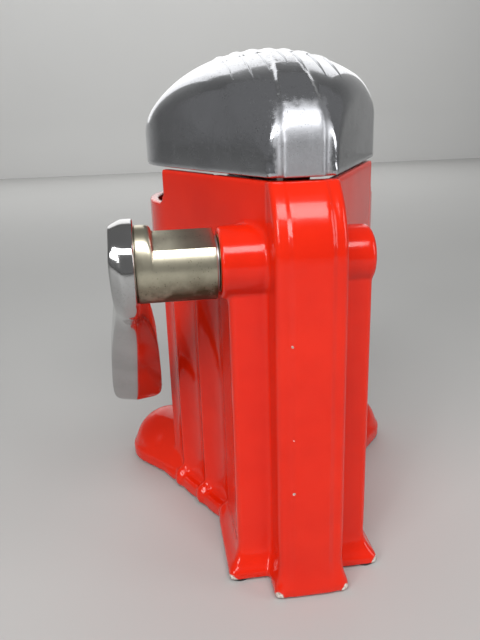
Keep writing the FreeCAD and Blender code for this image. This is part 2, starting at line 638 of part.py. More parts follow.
def round_sketch(owner, name, radius, plane="YZ", at=("0", "0")):
    sketch = owner.newObject("Sketcher::SketchObject", name)
    sketch.AttachmentSupport = [f for f in owner.Origin.OriginFeatures if f.Role == plane + "_Plane"][0]
    sketch.MapMode = "FlatFace"
    value = float(sketch.evalExpression(radius))
    x = float(sketch.evalExpression(at[0]))
    y = float(sketch.evalExpression(at[1]))
    sketch.addGeometry(Part.Circle(FreeCAD.Vector(x, y, 0), FreeCAD.Vector(0, 0, 1), value))
    fix_point(sketch, 0, 3, at)
    index = sketch.addConstraint(Sketcher.Constraint("Radius", 0, value))
    sketch.setExpression("Constraints[%d]" % index, radius)
    return sketch


def around(owner, name, feature, role, count, angle, reverse=False):
    pattern = owner.newObject("PartDesign::PolarPattern", name)
    pattern.Originals = [feature]
    axis = [f for f in owner.Origin.OriginFeatures if f.Role == role][0]
    pattern.Axis = (axis, [""])
    pattern.Reversed = reverse
    pattern.setExpression("Angle", angle)
    pattern.setExpression("Occurrences", count)
    owner.Tip = pattern
    return pattern


PINION_LONG = "2 * dims.arm_half"
HUB_LONG = "2 * (dims.arm_half + dims.pinion_hub)"
ROOT_R = "(%s - %s)" % (PITCH_R, DED)
BASE_R = "(%s * cos(dims.press_angle) + dims.run_gap)" % PITCH_R
TIP_R = "(%s + %s)" % (PITCH_R, ADD)
pinion_body = new_body("pinion_body", ("0", "dims.shaft_y", "dims.shaft_z"))
pad(pinion_body, "pinion_core", round_sketch(pinion_body, "pinion_core_plan", ROOT_R), HUB_LONG)
flank = [polar(r, "0", tooth_half(q, PITCH_R, "dims.pinion_count", "-dims.tooth_slack"))
         for r, q in (("(%s - dims.over)" % ROOT_R, BASE_R), (BASE_R, BASE_R), (PITCH_R, PITCH_R), (TIP_R, TIP_R))]
tooth_plan = outline("tooth_plan", flank + [(x, "-(%s)" % y) for x, y in reversed(flank)], "YZ", pinion_body)
tooth = pad(pinion_body, "tooth", tooth_plan, PINION_LONG)
around(pinion_body, "teeth", tooth, "X_Axis", "dims.pinion_count", "360")
drive_pin_r = "dims.pin_r"
pinion_pin = cylinder("pinion_pin", drive_pin_r, "2 * %s" % ROOT_R,
                      ("dims.arm_half + dims.pinion_hub / 2", "dims.shaft_y", "dims.shaft_z - %s" % ROOT_R))
drive_pinion = cut("drive_pinion", pinion_body, [shaft_bar, pinion_pin])

# Toothed arm of the dome
ARM_Y = "(dims.shaft_y + %s - %s)" % (ARM_R, PITCH_R)
ARM_TIP = "(%s - %s)" % (ARM_R, ADD)
ARM_ROOT = "(%s + %s)" % (ARM_R, DED)
ARM_OUT = "(%s + dims.arm_back)" % ARM_R
arm_body = new_body("arm_body", ("0", ARM_Y, "dims.shaft_z"))
low_in = polar(ARM_TIP, "-dims.arm_low", "0")
low_out = polar(ARM_OUT, "-dims.arm_low", "0")
high_in = polar(ARM_TIP, "dims.arm_high", "0")
high_out = polar(ARM_OUT, "dims.arm_high", "0")
arm_plan = outline("arm_plan", [low_in + ("0", "right"), high_in, high_out + ("0", "left"), low_out],
                   "YZ", arm_body)
pad(arm_body, "arm_bar", arm_plan, PINION_LONG)
GAP_STEP = "(360 / dims.arm_count)"
sides = []
for sign in ("", "-"):
    edge = []
    for r, q in (("(%s - dims.over)" % ARM_TIP, ARM_TIP), (ARM_TIP, ARM_TIP), (ARM_R, ARM_R), (ARM_ROOT, ARM_ROOT)):
        edge.append(polar(r, GAP_STEP, sign + tooth_half(q, ARM_R, "dims.arm_count", "dims.tooth_slack")))
    sides.append(edge)
gap_plan = outline("gap_plan", sides[0] + sides[1][::-1], "YZ", arm_body)
gap = pocket(arm_body, "gap", gap_plan, "%s + 2 * dims.over" % PINION_LONG)
around(arm_body, "gaps", gap, "X_Axis", "dims.gap_count", "(dims.gap_count - 1) * %s" % GAP_STEP)
pad_box = box("pad_box", ("2 * dims.pad_half", "dims.pad_back_y - dims.pad_front_y", "dims.pad_t"),
              ("-dims.pad_half", "dims.pad_front_y", "dims.pad_z"))
arm_blank = fuse("arm_blank", [arm_body, pad_box])


def screw(name, at, along, shank=("dims.screw_r", "dims.screw_len"), head=("dims.head_r", "dims.head_t")):
    """Cheese head screw: the head's seat is at the given place and the shank runs on from it."""
    back = {"X": "-X", "-X": "X", "Y": "-Y", "-Y": "Y"}
    if along == "Z":
        low = (at[0], at[1], "%s - (%s)" % (at[2], head[1]))
        top = cylinder(name + "_head", head[0], head[1], low)
    else:
        top = cylinder(name + "_head", head[0], head[1], at, back[along])
    return fuse(name, [cylinder(name + "_shank", shank[0], shank[1], at, along), top])


arm_screw = screw("arm_screw", ("dims.pad_screw_x", "dims.pad_screw_y", "dims.pad_z"), "Z",
                  ("dims.screw_r", "dims.screw_len + dims.pad_t"))
arm_screw_mirror = mirror("arm_screw_mirror", arm_screw)
rack_arm_screws = doc.addObject("Part::Compound", "rack_arm_screws")
rack_arm_screws.Links = [arm_screw, arm_screw_mirror]
rack_arm = cut("rack_arm", arm_blank, [arm_screw, arm_screw_mirror])

# Guide that keeps the arm on the pinion
guide_block = box("guide_block", ("2 * dims.guide_half", "dims.guide_deep", "2 * dims.guide_low"),
                  ("-dims.guide_half", COLUMN_FRONT, "dims.shaft_z - dims.guide_low"))
SLOT_HALF = "dims.arm_half + dims.side_gap"
guide_slot = cylinder("guide_slot", "%s + dims.side_gap" % ARM_OUT, "2 * (%s)" % SLOT_HALF,
                      ("-(%s)" % SLOT_HALF, ARM_Y, "dims.shaft_z"), "X")
guide_screw = screw("guide_screw", ("dims.guide_screw_x", "dims.bay_back_y + dims.head_t", "dims.shaft_z"), "Y")
guide_screw_mirror = mirror("guide_screw_mirror", guide_screw)
rack_guide_screws = doc.addObject("Part::Compound", "rack_guide_screws")
rack_guide_screws.Links = [guide_screw, guide_screw_mirror]
rack_guide = cut("rack_guide", guide_block, [guide_slot, guide_screw, guide_screw_mirror])

# Rubber feet, let into the toes and the pilaster feet
FOOT_TALL = "dims.foot_z + dims.foot_pad_deep"
REAR_FOOT_X = "dims.pil_half + (dims.pil_foot - dims.wall_t - dims.over) / 2"
REAR_FOOT_Y = "dims.pil_back_y + (dims.pil_foot - dims.wall_t - dims.over) / 2"
feet = []
for name, x, y in (("front", "dims.toe_x + dims.foot_pad_out", "dims.toe_y"), ("rear", REAR_FOOT_X, REAR_FOOT_Y)):
    foot = cylinder(name + "_foot", "dims.foot_pad_r", FOOT_TALL, (x, y, "0"))
    feet += [foot, mirror(name + "_foot_mirror", foot)]
rubber_feet = doc.addObject("Part::Compound", "rubber_feet")
rubber_feet.Links = feet
stand_casting = cut("stand_casting", with_bosses,
                    [bore, plain_bore, flange_seat, relief, guide_screw, guide_screw_mirror] + feet)

# Lever
hub_sleeve = cylinder("hub_sleeve", "dims.hub_r", "dims.block_end - (%s)" % HUB_X,
                      (HUB_X, "dims.shaft_y", "dims.shaft_z"), "X")
hub_flat_tool = box("hub_flat_tool", ("dims.hub_end - (%s)" % HUB_X, "2 * dims.hub_r", "dims.hub_r"),
                    (HUB_X, "dims.shaft_y - dims.hub_r", "dims.shaft_z + dims.hub_flat"))
hub_turned = cut("hub_turned", hub_sleeve, [hub_flat_tool])
BLOCK_LONG = "dims.block_end - dims.hub_end"
block_box = box("block_box", (BLOCK_LONG, "2 * dims.hub_r", "dims.lever_r"),
                ("dims.hub_end", "dims.shaft_y - dims.hub_r", "dims.shaft_z"))
block_round = cylinder("block_round", "dims.lever_r", BLOCK_LONG,
                       ("dims.hub_end", "dims.shaft_y", "dims.shaft_z"), "X")
hub_block = common("hub_block", [block_box, block_round])
hub_blank = fuse("hub_blank", [hub_turned, hub_block])
hub_pin = cylinder("hub_pin", "dims.pin_r", "dims.hub_r + dims.shaft_r / 2",
                   ("(%s + dims.hub_end) / 2" % HUB_X, "dims.shaft_y - dims.hub_r + dims.over", "dims.shaft_z"), "Y")
lever_hub = cut("lever_hub", hub_blank, [shaft_bar, hub_pin])

BOLT_X = "dims.lever_x - dims.bolt_head_t"
lever_screw = screw("lever_screw", (BOLT_X, "dims.shaft_y", "dims.shaft_z"), "-X",
                    ("dims.bolt_r", "%s - dims.hub_end" % BOLT_X), ("dims.bolt_head_r", "dims.bolt_head_t"))
ring_seat = tube("ring_seat", "dims.shaft_r + dims.over", "dims.shaft_r - dims.ring_deep", "dims.ring_t", RING_X)
drive_shaft = cut("drive_shaft", shaft_bar, [ring_seat, pinion_pin, hub_pin, lever_screw])

sections = []
for station, numbers in STATIONS:
    inner, outer, ridge, edge, crest = ["dims.%s_%s" % (station, field) for field in STATION_FIELDS[1:]]
    sections.append(outline("lever_" + station, [
        (inner, "-" + edge), (ridge, "-" + crest), (outer, "-" + edge),
        (outer, edge), (ridge, crest), (inner, edge),
    ], at=("0", "0", "-dims.%s_reach" % station)))
lever_blade = doc.addObject("Part::Loft", "lever_blade")
lever_blade.Sections = sections
lever_blade.Solid = True
lever_blade.Ruled = False
lever_disc = cylinder("lever_disc", "dims.lever_r", "dims.lever_x - dims.block_end", ("dims.block_end", "0", "0"), "X")
lever_rounded = rounded("lever_rounded", lever_disc, dims.lever_edge,
                        lambda line: line.CenterOfMass.x > dims.lever_x - dims.over)
lever_form = fuse("lever_form", [lever_rounded, lever_blade])
lever_form.Placement.Rotation = FreeCAD.Rotation(FreeCAD.Vector(-1, 0, 0), dims.lever_drop)
lever_form.setExpression("Placement.Rotation.Angle", "dims.lever_drop")
put(lever_form, ("0", "dims.shaft_y", "dims.shaft_z"))
lever_arm = cut("lever_arm", lever_form, [hub_blank, shaft_bar, lever_screw])

# Juice bowl and straining cone
juice_bowl = revolve("juice_bowl", [
    ("dims.spout_r - dims.bowl_t", "dims.spout_z"),
    ("dims.spout_r", "dims.spout_z"),
    ("dims.spout_r", "dims.bowl_low"),
    ("dims.bowl_low_r - dims.shelf_t", "dims.bowl_low"),
    ("dims.bowl_low_r", "dims.collar_z"),
    ("dims.bowl_low_r", SHELF_TOP),
    ("dims.bowl_r", SHELF_TOP),
    ("dims.bowl_r", "dims.bowl_top"),
    ("dims.bowl_r - dims.bowl_t", "dims.bowl_top"),
    ("dims.bowl_r - dims.bowl_t", "%s + dims.bowl_t" % SHELF_TOP),
    ("dims.bowl_low_r - dims.bowl_t", "%s + dims.bowl_t" % SHELF_TOP),
    ("dims.bowl_low_r - dims.bowl_t", "dims.collar_z + dims.over"),
    ("dims.bowl_low_r - dims.shelf_t - dims.over", "dims.bowl_low + dims.bowl_t"),
    ("dims.spout_r - dims.bowl_t", "dims.bowl_low + dims.bowl_t"),
], ("0", ROUND_Y, "0"))

CONE_Z = "(%s + dims.bowl_t)" % SHELF_TOP
strainer = new_body("strainer", ("0", ROUND_Y, "0"))
FLANGE_R = "dims.bowl_r - dims.bowl_t - dims.side_gap"
strainer_plan = outline("strainer_plan", [
    ("dims.cone_r - dims.cone_t", CONE_Z),
    (FLANGE_R, CONE_Z),
    (FLANGE_R, "%s + dims.cone_t" % CONE_Z),
    ("dims.cone_r", "%s + dims.cone_t" % CONE_Z),
    ("dims.cup_stem / 2", "dims.cone_top - dims.cone_t"),
    ("0", "dims.cone_top"),
    ("0", "dims.cone_top - dims.cone_t"),
    ("dims.cup_stem / 2 - dims.over", "dims.cone_top - 2 * dims.cone_t"),
], "XZ", strainer)
strainer_turned = strainer.newObject("PartDesign::Revolution", "strainer_turned")
strainer_turned.Profile = strainer_plan
strainer_turned.ReferenceAxis = (strainer_plan, ["V_Axis"])
strainer_turned.Angle = 360
hole_plan = round_sketch(strainer, "hole_plan", "dims.hole_r", "XY", ("dims.hole_ring", "0"))
hole = pocket(strainer, "hole", hole_plan, "2 * (%s + 2 * dims.cone_t)" % CONE_Z)
around(strainer, "holes", hole, "Z_Axis", "dims.hole_count", "360")

# Dome, press cup and its screw
LID_Z = "(dims.rim_z + dims.lid_gap)"
LID_TOP = "(%s + dims.lid_rz + dims.over)" % LID_Z


def lid_curve(name, out, low="0"):
    """Rounded crown of the dome, moved outwards and lowered."""
    radii = ["dims.%s + (%s)" % (r, out) for r in ("lid_rx", "lid_ry", "lid_rz")]
    radii[2] += " - (%s)" % low
    return ellipsoid(name, radii, ("0", "dims.lid_y", LID_Z))


def lid_height(name):
    """A height over the dome's lower edge."""
    return "%s + dims.lid_%s" % (LID_Z, name)


BAND_BACK = "dims.back_y + dims.lid_band"
band_side = outline("band_side", [
    ("dims.lid_crest_y", LID_Z),
    (BAND_BACK, LID_Z),
    (BAND_BACK, lid_height("bend"), lid_height("bend"), "left"),
    ("dims.lid_knee_y", lid_height("knee"), "%s - dims.lid_sag" % LID_Z, "left"),
    ("dims.lid_crest_y", lid_height("crest")),
], "YZ")
band_plan = outline("band_plan", both_sides([
    ("dims.rib_face_half", BAND_BACK),
    ("dims.lid_taper", "dims.lid_crest_y"),
]), at=("0", "0", LID_Z))
lid_back = common("lid_back", [
    extrude("band_bar", band_side, "2 * dims.rib_half", True),
    extrude("band_wedge", band_plan, "2 * dims.lid_rz"),
])
lid_main = common("lid_main", [teardrop("lid_block", "0", "dims.back_y", LID_Z, LID_TOP), lid_curve("lid_dome", "0")])


def crown_edge(line):
    """True for the edges between the dome's top and its sides."""
    rise = abs(line.Vertexes[0].Z - line.Vertexes[-1].Z)
    level = line.CenterOfMass.z - dims.rim_z - dims.lid_gap
    return line.Length > dims.over / 2 and level > dims.over and rise < 0.9 * line.Length


lid_soft = rounded("lid_soft", lid_main, dims.lid_round, crown_edge)
rib_bars = []
for k in range(7):
    rib_bars.append(box("lid_bar_%d" % k, ("dims.lid_rib_w", "dims.lid_rib_back - dims.lid_rib_front", "dims.lid_rz"),
                        ("%d * dims.lid_rib_pitch - dims.lid_rib_w / 2" % (k - 3), "dims.lid_rib_front",
                         "%s + dims.lid_rz / 2" % LID_Z)))
lid_ribs = common("lid_ribs", [fuse("lid_bars", rib_bars), lid_curve("lid_rib_curve", "dims.lid_rib_h")])
lid_solid = fuse("lid_solid", [lid_soft, lid_back, lid_ribs])
LID_UNDER = "%s - dims.over" % LID_Z
room_main = teardrop("room_main", "-dims.lid_t", "dims.back_y - dims.lid_t", LID_UNDER, LID_TOP)
lid_room = common("lid_room", [room_main, lid_curve("lid_hollow", "-dims.lid_t", "dims.lid_t")])
CUP_LOW = "(%s + dims.cone_t + dims.cup_gap)" % CONE_Z
CUP_IN = "(dims.cone_top + dims.cup_gap - dims.over / 2)"
CUP_TOP = "(%s + dims.cup_rise)" % CUP_IN
PAD_TOP = "(dims.pad_z + dims.pad_t)"
arm_mount = box("arm_mount", ("2 * dims.pad_half", "dims.pad_back_y - dims.pad_front_y", "dims.lid_rz"),
                ("-dims.pad_half", "dims.pad_front_y", PAD_TOP))
cup_mount = cylinder("cup_mount", "dims.cup_stem", "dims.lid_rz", ("0", ROUND_Y, CUP_TOP))
mounts = common("mounts", [fuse("mount_bars", [arm_mount, cup_mount]), lid_curve("mount_curve", "-dims.lid_t / 2")])
lid_shell = cut("lid_shell", lid_solid, [lid_room])
lid_with_mounts = fuse("lid_with_mounts", [lid_shell, mounts])

cup_blank = revolve("cup_blank", [
    ("0", CUP_IN),
    ("dims.cup_stem - dims.over", CUP_IN),
    ("dims.cone_r + dims.cup_gap", CUP_LOW),
    ("dims.cone_r + dims.cup_gap + dims.cup_t", CUP_LOW),
    ("dims.cone_r + dims.cup_gap + dims.cup_t / 2", "%s + 2 * dims.cup_t" % CUP_LOW),
    ("dims.cup_stem + dims.cup_t", "%s + dims.cup_t" % CUP_IN),
    ("dims.cup_stem", "%s + 2 * dims.cup_t" % CUP_IN),
    ("dims.cup_stem", CUP_TOP),
    ("0", CUP_TOP),
], ("0", ROUND_Y, "0"))
press_cup_screw = screw("press_cup_screw", ("0", ROUND_Y, CUP_IN), "Z",
                        ("dims.bolt_r", "dims.cup_rise + dims.screw_len"),
                        ("dims.bolt_head_r - dims.over", "dims.head_t - dims.over / 2"))
press_cup = cut("press_cup", cup_blank, [press_cup_screw])
dome_cover = cut("dome_cover", lid_with_mounts, [arm_screw, arm_screw_mirror, press_cup_screw])

doc.recompute()
PIECES = (
    stand_casting, lever_side_bush, plain_side_bush, rack_guide, rack_guide_screws, juice_bowl, strainer, rubber_feet,
    lever_arm, lever_hub, lever_screw, hub_pin, drive_shaft, drive_pinion, pinion_pin, thrust_washer, retaining_ring,
    dome_cover, press_cup, press_cup_screw, rack_arm, rack_arm_screws,
)
os.makedirs("parts", exist_ok=True)
for obj in doc.Objects:
    if "Invalid" in obj.State or "Error" in obj.State:
        raise RuntimeError("not built: " + obj.Name)
for piece in PIECES:
    if piece.Shape.isNull() or not piece.Shape.isValid():
        raise RuntimeError("bad shape: " + piece.Name)
    piece.Label = piece.Name
    piece.Shape.exportStep("parts/%s.step" % piece.Label)
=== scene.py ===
import bpy
import json
import math
from mathutils import Matrix, Vector


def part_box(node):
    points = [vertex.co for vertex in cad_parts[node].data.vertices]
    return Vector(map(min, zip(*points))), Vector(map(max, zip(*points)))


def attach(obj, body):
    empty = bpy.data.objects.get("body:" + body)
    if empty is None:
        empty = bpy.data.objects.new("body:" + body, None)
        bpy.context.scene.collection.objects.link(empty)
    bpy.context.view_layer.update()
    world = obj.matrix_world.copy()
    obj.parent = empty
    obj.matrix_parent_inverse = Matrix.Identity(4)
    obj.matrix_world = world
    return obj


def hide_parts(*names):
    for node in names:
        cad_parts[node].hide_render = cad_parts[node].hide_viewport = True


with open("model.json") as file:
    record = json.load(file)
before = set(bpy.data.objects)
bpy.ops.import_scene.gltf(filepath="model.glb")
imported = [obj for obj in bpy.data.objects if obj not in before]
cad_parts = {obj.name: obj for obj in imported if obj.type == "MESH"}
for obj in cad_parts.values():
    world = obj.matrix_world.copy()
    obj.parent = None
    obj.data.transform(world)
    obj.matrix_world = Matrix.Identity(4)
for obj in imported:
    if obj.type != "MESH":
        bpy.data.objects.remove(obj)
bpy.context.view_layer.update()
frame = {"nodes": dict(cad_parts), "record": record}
# The pieces are given in millimetres, the studio in metres
MM = 0.001


class Wire:
    """A shader socket whose operators add Math nodes."""

    def __init__(self, paint, socket):
        self.paint = paint
        self.socket = socket

    def math(self, operation, *others):
        return self.paint.node("ShaderNodeMath", {"operation": operation},
                               dict(enumerate((self, *others))))

    def __add__(self, other):
        return self.math("ADD", other)

    def __radd__(self, other):
        return self.math("ADD", other)

    def __sub__(self, other):
        return self.math("SUBTRACT", other)

    def __rsub__(self, other):
        return self.paint.node("ShaderNodeMath", {"operation": "SUBTRACT"}, {0: other, 1: self})

    def __mul__(self, other):
        return self.math("MULTIPLY", other)

    def __rmul__(self, other):
        return self.math("MULTIPLY", other)

    def __abs__(self):
        return self.math("ABSOLUTE")

    def low(self, other):
        return self.math("MINIMUM", other)

    def high(self, other):
        return self.math("MAXIMUM", other)

    def sine(self):
        return self.math("SINE")

    def step(self, start, stop):
        """0 under start, 1 over stop, and smooth between them."""
        return self.paint.node("ShaderNodeMapRange", {"interpolation_type": "SMOOTHSTEP"},
                               {"Value": self, "From Min": start, "From Max": stop})


class Paint:
    """One material, built on Object coordinates."""

    def __init__(self, name):
        self.material = bpy.data.materials.new(name)
        self.material.use_nodes = True
        self.tree = self.material.node_tree
        self.shader = self.tree.nodes["Principled BSDF"]
        self.place = self.node("ShaderNodeTexCoord", output="Object")
        self.x, self.y, self.z = (
            self.node("ShaderNodeSeparateXYZ", {}, {"Vector": self.place}, output=axis)
            for axis in "XYZ")

    def node(self, kind, settings=None, sockets=None, output=0):
        """Add a node: its settings first, then the values or links of its sockets."""
        made = self.tree.nodes.new(kind)
        for key, value in (settings or {}).items():
            setattr(made, key, value)
        for key, value in (sockets or {}).items():
            self.plug(made.inputs[key], value)
        return Wire(self, made.outputs[output])

    def plug(self, socket, value):
        """Link a wire to a socket, or set a plain value on it."""
        if isinstance(value, Wire):
            self.tree.links.new(value.socket, socket)
        else:
            socket.default_value = value

    def vector(self, operation, first, second, output=0):
        """One Vector Math node on two vectors."""
        return self.node("ShaderNodeVectorMath", {"operation": operation},
                         {0: first, 1: second}, output)

    def noise(self, scale, detail=3.0, at=None):
        """Cloudy noise from 0 to 1."""
        return self.node("ShaderNodeTexNoise", {},
                         {"Vector": at or self.place, "Scale": scale, "Detail": detail,
                          "Roughness": 0.55}, "Fac")

    def cells(self, scale):
        """How far a place is from the nearest of many scattered dots."""
        return self.node("ShaderNodeTexVoronoi", {"feature": "F1"},
                         {"Vector": self.place, "Scale": scale}, "Distance")

    def warped(self, scale, reach):
        """Object coordinates shaken by noise, for ragged outlines."""
        noise = self.node("ShaderNodeTexNoise", {}, {"Vector": self.place, "Scale": scale},
                          "Color")
        shake = self.vector("SUBTRACT", noise, (0.5, 0.5, 0.5))
        shake = self.node("ShaderNodeVectorMath", {"operation": "SCALE"},
                          {0: shake, "Scale": reach})
        return self.vector("ADD", self.place, shake)

    def stretched(self, x, y, z):
        """Object coordinates scaled along each axis, for streaks."""
        return self.node("ShaderNodeMapping", {}, {"Vector": self.place, "Scale": (x, y, z)})

    def blend(self, factor, first, second):
        """Mix two colours."""
        return self.node("ShaderNodeMix", {"data_type": "RGBA"},
                         {0: factor, 6: first, 7: second}, 2)

    def bump(self, height, strength, distance, normal=None):
        """A Bump node, laid over another normal where one is given."""
        sockets = {"Height": height, "Strength": strength, "Distance": distance}
        if normal:
            sockets["Normal"] = normal
        return self.node("ShaderNodeBump", {}, sockets)

    def soft_edges(self, radius):
        """A normal that rounds sharp edges off."""
        return self.node("ShaderNodeBevel", {"samples": 6}, {"Radius": radius})

    def finish(self, **values):
        """Set the shader's own sockets and hand the material over."""
        for key, value in values.items():
            self.plug(self.shader.inputs[key.replace("_", " ")], value)
        return self.material


def opaque(tone, share=1.0):
    """A solid colour for a socket, darkened to a share of its tone."""
    return tuple(share * c for c in tone) + (1,)


DEEP_RED = opaque((0.7, 0.015, 0.002))
BRIGHT_RED = opaque((0.78, 0.02, 0.003))
DULL_ZINC = opaque((0.42, 0.33, 0.27))
BRIGHT_ZINC = opaque((0.8, 0.76, 0.7))
NICKEL = opaque((0.62, 0.58, 0.45))
# This dark colour paints stains and pits on the hub, and also painted shade over its lower part
GRIME_AND_SHADE = opaque((0.09, 0.075, 0.045))
BLACK_RUBBER = opaque((0.014, 0.014, 0.014))
WORN_RUBBER = opaque((0.04, 0.038, 0.036))
CHIP_CORE = 0.8
PAINT_CHIPS = [(tuple(c * MM for c in spot), reach * MM) for spot, reach in (
    ((14.8, 77.4, 1.2), 3.4), ((-14.6, 77.4, 1.6), 3.0), ((31.6, 62.9, 1.0), 3.2),
    ((-32.0, 62.4, 1.2), 3.2), ((7.7, 75.8, 108.8), 0.62), ((7.7, 75.8, 71.5), 0.5),
    ((7.5, 75.8, 48.6), 0.75), ((-13.4, 75.0, 55.8), 0.7), ((-1.1, 76.0, 131.0), 0.4),
    ((60.0, -76.0, 3.0), 2.2), ((40.0, 3.0, 1.6), 2.0), ((-71.0, -60.0, 3.0), 2.0))]


def red_enamel():
    """Glossy red enamel over a die casting, chipped to bare zinc at the foot."""
    paint = Paint("red_enamel")
    cloud = paint.noise(scale=26.0)
    ragged = paint.warped(scale=260.0, reach=2.4 * MM)
    foot_rim = 1 - paint.z.step(0.6 * MM, 2.2 * MM)
    bare = foot_rim * paint.noise(scale=170.0, detail=4.0).step(0.6, 0.64)
    for spot, reach in PAINT_CHIPS:
        away = paint.vector("DISTANCE", ragged, spot, "Value")
        bare = bare.high(1 - away.step(CHIP_CORE * reach, reach))
    red = paint.blend(cloud.step(0.3, 0.7), DEEP_RED, BRIGHT_RED)
    zinc = paint.blend(paint.noise(scale=900.0, detail=2.0).step(0.3, 0.7), DULL_ZINC, BRIGHT_ZINC)
    peel = paint.bump(paint.noise(scale=150.0, detail=2.0), strength=0.07, distance=0.4 * MM)
    return paint.finish(
        Base_Color=paint.blend(bare, red, zinc),
        Coat_Weight=0.1 * (1 - bare), Coat_Roughness=0.03, Specular_IOR_Level=0.34,
        Roughness=0.16 + 0.1 * cloud.step(0.5, 0.85) + 0.35 * bare,
        Normal=paint.bump(1 - bare, strength=0.5, distance=0.2 * MM, normal=peel))


def chrome(name, tone, pitted, worn=None):
    """Old chrome plate: clouded, crossed by hairlines, finely pitted and rubbed dull in places."""
    paint = Paint(name)
    cloud = paint.noise(scale=30.0, detail=5.0).step(0.4, 0.7)
    pits = 1 - paint.cells(scale=1000.0).step(0.12, 0.36)
    pits = pits * paint.noise(scale=75.0, detail=4.0).step(0.4, 0.6) * pitted
    scuffs = paint.noise(scale=2000.0, detail=2.0).step(0.5, 0.7)
    scuffs = scuffs * paint.noise(scale=48.0, detail=4.0).step(0.4, 0.65) * pitted
    upright = paint.noise(scale=70.0, detail=2.0, at=paint.stretched(26.0, 2.0, 1.0))
    level = paint.noise(scale=70.0, detail=2.0, at=paint.stretched(3.0, 1.0, 22.0))
    hairlines = upright.step(0.6, 0.7).high(level.step(0.62, 0.72))
    rubbed = 0.22 * cloud
    if worn:
        rubbed = rubbed.high(worn(paint))
    dark = (0.5 * pits + 0.25 * cloud).low(1.0)
    rough = 0.07 + 0.36 * rubbed + 0.22 * pits + 0.08 * hairlines * pitted + 0.16 * scuffs
    height = 1 - pits.high(0.5 * scuffs)
    return paint.finish(
        Base_Color=paint.blend(dark, opaque(tone), opaque(tone, 0.35)),
        Metallic=1.0, Roughness=rough,
        Normal=paint.bump(height, strength=0.22, distance=0.05 * MM,
                          normal=paint.soft_edges(0.5 * MM)))


def rubbed_band(paint):
    """The band up the back of the dome, rubbed dull with a ragged edge."""
    ragged = paint.noise(scale=190.0, detail=4.0) * (5 * MM)
    across = 1 - (abs(paint.x) + ragged).step(11 * MM, 14 * MM)
    under_crown = 1 - (paint.z + ragged * 2.0).step(194 * MM, 200 * MM)
    at_back = (paint.y + ragged).step(38 * MM, 46 * MM)
    return across * (under_crown * at_back)


def hub_nickel():
    """Dull yellowish nickel with turning lines, dark stains and fine pits, and darkened low down
    by painted shade mixed with stains.
    """
    paint = Paint("hub_nickel")
    stain = paint.noise(scale=60.0, detail=5.0).step(0.42, 0.72)
    # Painted shade: the lower part of the hub is darkened, in patches, as if it were in the shade
    # under the hub
    low = 1 - paint.z.step(123 * MM, 137 * MM)
    low_stain_and_shade = 0.6 + 0.5 * paint.noise(scale=110.0, detail=5.0).step(0.35, 0.6)
    turned = paint.noise(scale=34.0, at=paint.stretched(*ALONG_SHAFT))
    pits = 1 - paint.cells(scale=900.0).step(0.1, 0.3)
    pits = pits * paint.noise(scale=120.0).step(0.45, 0.65)
    grime_and_shade = (0.3 * stain + low * low_stain_and_shade + 0.35 * pits).low(1.0)
    return paint.finish(
        Base_Color=paint.blend(grime_and_shade, NICKEL, GRIME_AND_SHADE),
        Metallic=1.0, Roughness=0.24 + 0.16 * grime_and_shade + 0.12 * turned,
        Normal=paint.bump(turned, strength=0.2, distance=0.1 * MM,
                          normal=paint.soft_edges(0.5 * MM)))


def plain_metal(name, tone, rough, scale, grain):
    """Turned or cut metal: grain lines, cloudy tone and a few dark stains."""
    paint = Paint(name)
    cloud = paint.noise(scale, detail=4.0)
    lines = paint.noise(scale, at=paint.stretched(*grain))
    return paint.finish(
        Base_Color=paint.blend(cloud.step(0.4, 0.8), opaque(tone), opaque(tone, 0.62)),
        Metallic=1.0, Roughness=rough + 0.18 * lines,
        Normal=paint.bump(lines, strength=0.2, distance=0.1 * MM,
                          normal=paint.soft_edges(0.3 * MM)))


def spun(name, tone, rough):
    """Spun sheet: fine rings round the bowl's own axis."""
    paint = Paint(name)
    level = paint.node("ShaderNodeCombineXYZ", {}, {"X": paint.x, "Y": paint.y})
    radius = paint.vector("DISTANCE", level, (0.0, BOWL_Y, 0.0), "Value")
    rings = (radius * RING_TURNS).sine() * 0.5 + 0.5
    cloud = paint.noise(scale=60.0, detail=4.0)
    return paint.finish(
        Base_Color=paint.blend(cloud.step(0.35, 0.8), opaque(tone), opaque(tone, 0.75)),
        Metallic=1.0, Roughness=rough + 0.12 * cloud + 0.08 * rings,
        Normal=paint.bump(rings, strength=0.12, distance=0.05 * MM,
                          normal=paint.soft_edges(0.4 * MM)))


def foot_rubber():
    """Black rubber with a fine grain, a little greyed."""
    paint = Paint("foot_rubber")
    grain = paint.noise(scale=700.0, detail=2.0)
    return paint.finish(
        Base_Color=paint.blend(grain, BLACK_RUBBER, WORN_RUBBER),
        Roughness=0.7 + 0.2 * grain,
        Normal=paint.bump(grain, strength=0.3, distance=0.1 * MM))


bowl_low, bowl_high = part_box("juice_bowl")
BOWL_Y = (bowl_low[1] + bowl_high[1]) / 2
RING_TURNS = 5200.0  # radians to the metre
ALONG_SHAFT = (40.0, 1.0, 1.0)
ACROSS = (1.0, 12.0, 12.0)
PLAIN_METALS = (
    # slot, tone, roughness, scale of the noise, grain
    ("shaft_steel", (0.5, 0.5, 0.5), 0.25, 60.0, ALONG_SHAFT),
    ("gear_steel", (0.4, 0.39, 0.38), 0.32, 80.0, ACROSS),
    ("pin_steel", (0.45, 0.45, 0.45), 0.3, 90.0, ACROSS),
    ("screw_steel", (0.58, 0.58, 0.58), 0.22, 90.0, ACROSS),
    ("washer_steel", (0.5, 0.5, 0.5), 0.3, 90.0, ACROSS),
    ("bush_bronze", (0.55, 0.36, 0.16), 0.3, 70.0, ALONG_SHAFT),
    ("guide_brass", (0.66, 0.48, 0.2), 0.3, 70.0, ACROSS),
)
SPUN_METALS = (
    # slot, tone, roughness
    ("bowl_aluminium", (0.74, 0.74, 0.74), 0.26),
    ("strainer_aluminium", (0.78, 0.78, 0.77), 0.3),
    ("cup_aluminium", (0.72, 0.72, 0.72), 0.32),
)
